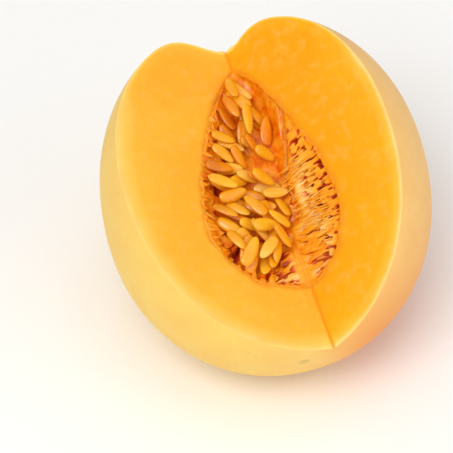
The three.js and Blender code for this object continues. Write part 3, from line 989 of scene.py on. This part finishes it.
def build_seed(node, materials, draws):
    """One seed: a plump flat drop with a fine rim, bent a little, over its CAD seed."""
    middle, wide, thick, long, spans = seed_frame(node)
    shares = 0.5 - 0.5 * np.cos(np.linspace(0, math.pi, SEED_RINGS + 2)[1:-1])
    angles = np.linspace(0, 2 * math.pi, SEED_AROUND, endpoint=False)
    bend = MOST_SEED_BEND * draws.uniform(-1, 1) * spans["wide"]
    dent = draws.uniform(0.0, DEEPEST_SEED_DENT)
    across = np.cos(angles)
    lift = np.sign(np.sin(angles)) * np.abs(np.sin(angles)) ** SEED_RIM_POWER
    hollowed = 1 - dent * np.exp(-((across / 0.45) ** 2)) * np.where(lift > 0, 1, 0)
    points = [(0, 0, -0.5)]
    for share in shares:
        half = 0.5 * seed_outline(share)
        along = np.full(SEED_AROUND, share - 0.5)
        points.extend(np.column_stack([half * across, half * lift * hollowed, along]))
    points.append((0, 0, 0.5))
    points = np.array(points)
    local = points * [spans["wide"], spans["thick"], spans["long"]]
    local[:, 0] += bend * (1 - (2 * points[:, 2]) ** 2)
    place = middle + local @ np.array([wide, thick, long])
    faces = []
    last = len(points) - 1
    for n in range(SEED_AROUND):
        after = (n + 1) % SEED_AROUND
        faces.append((0, 1 + after, 1 + n))
        for ring in range(SEED_RINGS - 1):
            low, high = 1 + ring * SEED_AROUND, 1 + (ring + 1) * SEED_AROUND
            faces.append((low + n, low + after, high + after, high + n))
        top = last - SEED_AROUND
        faces.append((last, top + n, top + after))
    half_width = 0.5 * seed_outline(np.clip(points[:, 2] + 0.5, 0.001, 0.999))
    rim = smooth_step(0.7, 1.0, np.abs(points[:, 0]) / np.maximum(half_width, 0.02))
    pointed_end = smooth_step(0.25, -0.4, points[:, 2])
    # Painted shade: a seed's tone is darker round its rim; it is lighter towards the pointed end and varies
    # at random.
    tone = draws.uniform(0.15, 0.75) - 0.18 * rim + 0.25 * pointed_end
    material = materials[draws.choice(len(materials), p=SEED_SHARES)]
    piece = add_mesh(node.replace("seed", "melon_seed"), place, faces, {"tone": tone}, (material,))
    face_outward(piece)
    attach(piece, "root")
    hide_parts(node)


def build_seeds(colours):
    """Every seed, in one of three coats."""
    materials = (
        seed_material("golden_seed_coat", [(0.0, "#ce7000"), (0.4, colours.seed_hex), (1.0, "#fdbe24")]),
        seed_material("pale_seed_coat", [(0.0, "#dc8400"), (0.45, "#f9b428"), (1.0, "#ffd26c")]),
        seed_material("amber_seed_coat", [(0.0, "#c66000"), (0.45, "#ec8a00"), (1.0, "#f9aa12")]),
    )
    draws = np.random.default_rng(5)
    for node in SEED_NODES:
        build_seed(node, materials, draws)


# ---------------------------------------------------------------- stage


def build_stage(settings, colours):
    """A pale board in even light, three softboxes and the camera."""
    scene = bpy.context.scene
    side = settings.floor_side / 2
    corners = [(-side, -side, 0), (side, -side, 0), (side, side, 0), (-side, side, 0)]
    floor = add_mesh("floor_board", corners, [(0, 1, 2, 3)], materials=(table_material(colours),))

    world = bpy.data.worlds.new("pale_room")
    scene.world = world
    world.use_nodes = True
    world.node_tree.nodes["Background"].inputs["Color"].default_value = (1, 1, 1, 1)
    world.node_tree.nodes["Background"].inputs["Strength"].default_value = settings.room_light
    scene.view_settings.view_transform = "Standard"

    aim = Vector(OFFSET) * MM
    for name, azimuth, height, size, power in (
        ("key_softbox", -26, 52, 1.3, settings.key_power),
        ("fill_softbox", 55, 30, 2.2, settings.fill_power),
        ("top_softbox", 10, 85, 1.5, settings.top_power),
    ):
        light = bpy.data.lights.new(name, "AREA")
        light.size = size
        light.energy = power
        lamp = bpy.data.objects.new(name, light)
        scene.collection.objects.link(lamp)
        a, e = math.radians(azimuth), math.radians(height)
        back = Vector((math.sin(a) * math.cos(e), -math.cos(a) * math.cos(e), math.sin(e)))
        lamp.location = aim + back * settings.lamp_distance
        lamp.rotation_mode = "QUATERNION"
        lamp.rotation_quaternion = (-back).to_track_quat("-Z", "Y")

    rise = math.radians(settings.camera_rise)
    back = Vector((0, -math.cos(rise), math.sin(rise)))
    up = Vector((0, math.sin(rise), math.cos(rise)))
    target = aim - Vector((1, 0, 0)) * settings.aim_left - up * settings.aim_down
    lens = bpy.data.cameras.new("camera")
    lens.sensor_width = 36
    lens.lens = settings.lens
    lens.clip_end = 20
    camera = bpy.data.objects.new("camera", lens)
    scene.collection.objects.link(camera)
    camera.location = target + back * settings.camera_distance
    camera.rotation_mode = "QUATERNION"
    camera.rotation_quaternion = (-back).to_track_quat("-Z", "Y")
    scene.camera = camera


# ---------------------------------------------------------------- add-on parts


def hex_property(name, description, default):
    """A setting that holds an sRGB hex colour."""
    return bpy.props.StringProperty(name=name, description=description, default=default, maxlen=7)


def length_property(name, description, default):
    return bpy.props.FloatProperty(
        name=name, description=description, default=default, unit="LENGTH", subtype="DISTANCE", precision=5
    )


def number_property(name, description, default, unit="NONE"):
    return bpy.props.FloatProperty(name=name, description=description, default=default, unit=unit)


def count_property(name, description, default):
    return bpy.props.IntProperty(name=name, description=description, default=default, min=8)


class MelonSettings(bpy.types.PropertyGroup):
    body_turns: count_property("Body turns", "Mesh steps round the melon body", 100)
    body_tilts: count_property("Body tilts", "Mesh steps from the stem end to the other", 230)
    body_shares: count_property("Body shares", "Mesh steps from the cavity to the rind on a cut face", 46)
    pulp_turns: count_property("Pulp turns", "Mesh steps round the pulp", 90)
    pulp_tilts: count_property("Pulp tilts", "Mesh steps along the pulp", 280)
    pulp_shares: count_property("Pulp shares", "Mesh steps across the cut pulp", 80)
    tear_depth: length_property("Tear depth", "How ragged the cavity's edge is", 0.0045)
    knife_waves: length_property("Knife waves", "How wavy the cut faces are", 0.0005)
    bed_lumps: length_property("Bed lumps", "How lumpy the bed under the seeds is", 0.004)
    threads: count_property("Threads", "How many loose strings lie over the pulp", 170)
    thick_threads: count_property("Thick threads", "How many of the strings are thick ones low down", 16)
    shreds: count_property("Shreds", "How many torn tongues of flesh hang from the cavity's edge", 26)
    pulp_overlap: length_property("Pulp overlap", "How far the pulp grows into the flesh", 0.0015)


class MelonColours(bpy.types.PropertyGroup):
    flesh_hex: hex_property("Flesh", "Colour of the flesh away from the rind", "#ffb430")
    rind_left_hex: hex_property("Rind, left", "Colour of the rind's shaded side", "#f7cf66")
    rind_right_hex: hex_property("Rind, right", "Colour of the rind's ripe side", "#ffcb78")
    jelly_hex: hex_property("Pulp jelly", "Colour of the wet pulp under the seeds", "#fb9006")
    seed_hex: hex_property("Seeds", "Colour of most of the seeds", "#f0a000")
    floor_hex: hex_property("Floor", "Colour of the board", "#fdfcfa")


class MelonStage(bpy.types.PropertyGroup):
    floor_side: length_property("Floor side", "Side of the square board", 6.0)
    room_light: number_property("Room light", "Strength of the even light", 0.5)
    key_power: number_property("Key", "Power of the key softbox", 32.0, "POWER")
    fill_power: number_property("Fill", "Power of the fill softbox", 11.0, "POWER")
    top_power: number_property("Top", "Power of the top softbox", 7.0, "POWER")
    lamp_distance: length_property("Lamp distance", "From the melon to each softbox", 2.5)
    camera_rise: number_property("Camera rise", "Degrees above level", 45.0)
    camera_distance: length_property("Camera distance", "From the aim to the camera", 1.385)
    lens: number_property("Lens", "Focal length in millimetres", 258.4)
    aim_left: length_property("Aim left", "How far left of the melon's middle the camera aims", 0.01629)
    aim_down: length_property("Aim down", "How far below the melon's middle the camera aims", 0.01435)


class MELON_OT_body(bpy.types.Operator):
    """Build the flesh and rind"""

    bl_idname = "melon.body"
    bl_label = "Flesh and rind"

    def execute(self, context):
        build_body(context.scene.melon_settings, context.scene.melon_colours)
        return {"FINISHED"}


class MELON_OT_pulp(bpy.types.Operator):
    """Build the seed pulp"""

    bl_idname = "melon.pulp"
    bl_label = "Seed pulp"

    def execute(self, context):
        build_pulp(context.scene.melon_settings, context.scene.melon_colours)
        return {"FINISHED"}


class MELON_OT_loose(bpy.types.Operator):
    """Build the loose threads and the torn flesh"""

    bl_idname = "melon.loose"
    bl_label = "Threads and shreds"

    def execute(self, context):
        build_threads(context.scene.melon_settings)
        build_shreds(context.scene.melon_settings)
        return {"FINISHED"}


class MELON_OT_seeds(bpy.types.Operator):
    """Build the seeds"""

    bl_idname = "melon.seeds"
    bl_label = "Seeds"

    def execute(self, context):
        build_seeds(context.scene.melon_colours)
        return {"FINISHED"}


class MELON_OT_stage(bpy.types.Operator):
    """Build the floor, the lights and the camera"""

    bl_idname = "melon.stage"
    bl_label = "Stage"

    def execute(self, context):
        build_stage(context.scene.melon_stage, context.scene.melon_colours)
        return {"FINISHED"}


class MELON_PT_panel(bpy.types.Panel):
    """The melon's sizes, colours and build buttons"""

    bl_idname = "MELON_PT_panel"
    bl_label = "Cut melon"
    bl_space_type = "VIEW_3D"
    bl_region_type = "UI"
    bl_category = "Melon"

    def draw(self, context):
        column = self.layout.column()
        for group in (context.scene.melon_settings, context.scene.melon_colours, context.scene.melon_stage):
            for key in group.__annotations__:
                column.prop(group, key)
        for operator in OPERATORS:
            column.operator(operator.bl_idname)


OPERATORS = (MELON_OT_body, MELON_OT_pulp, MELON_OT_loose, MELON_OT_seeds, MELON_OT_stage)
GROUPS = {"melon_settings": MelonSettings, "melon_colours": MelonColours, "melon_stage": MelonStage}


def register():
    for group in GROUPS.values():
        bpy.utils.register_class(group)
    for operator in OPERATORS:
        bpy.utils.register_class(operator)
    bpy.utils.register_class(MELON_PT_panel)
    for key, group in GROUPS.items():
        setattr(bpy.types.Scene, key, bpy.props.PointerProperty(type=group))


def unregister():
    for key in GROUPS:
        delattr(bpy.types.Scene, key)
    for kind in (MELON_PT_panel, *reversed(OPERATORS), *reversed(list(GROUPS.values()))):
        bpy.utils.unregister_class(kind)


def main():
    register()
    bpy.ops.melon.body()
    bpy.ops.melon.pulp()
    bpy.ops.melon.loose()
    bpy.ops.melon.seeds()
    bpy.ops.melon.stage()


if __name__ == "__main__":
    main()
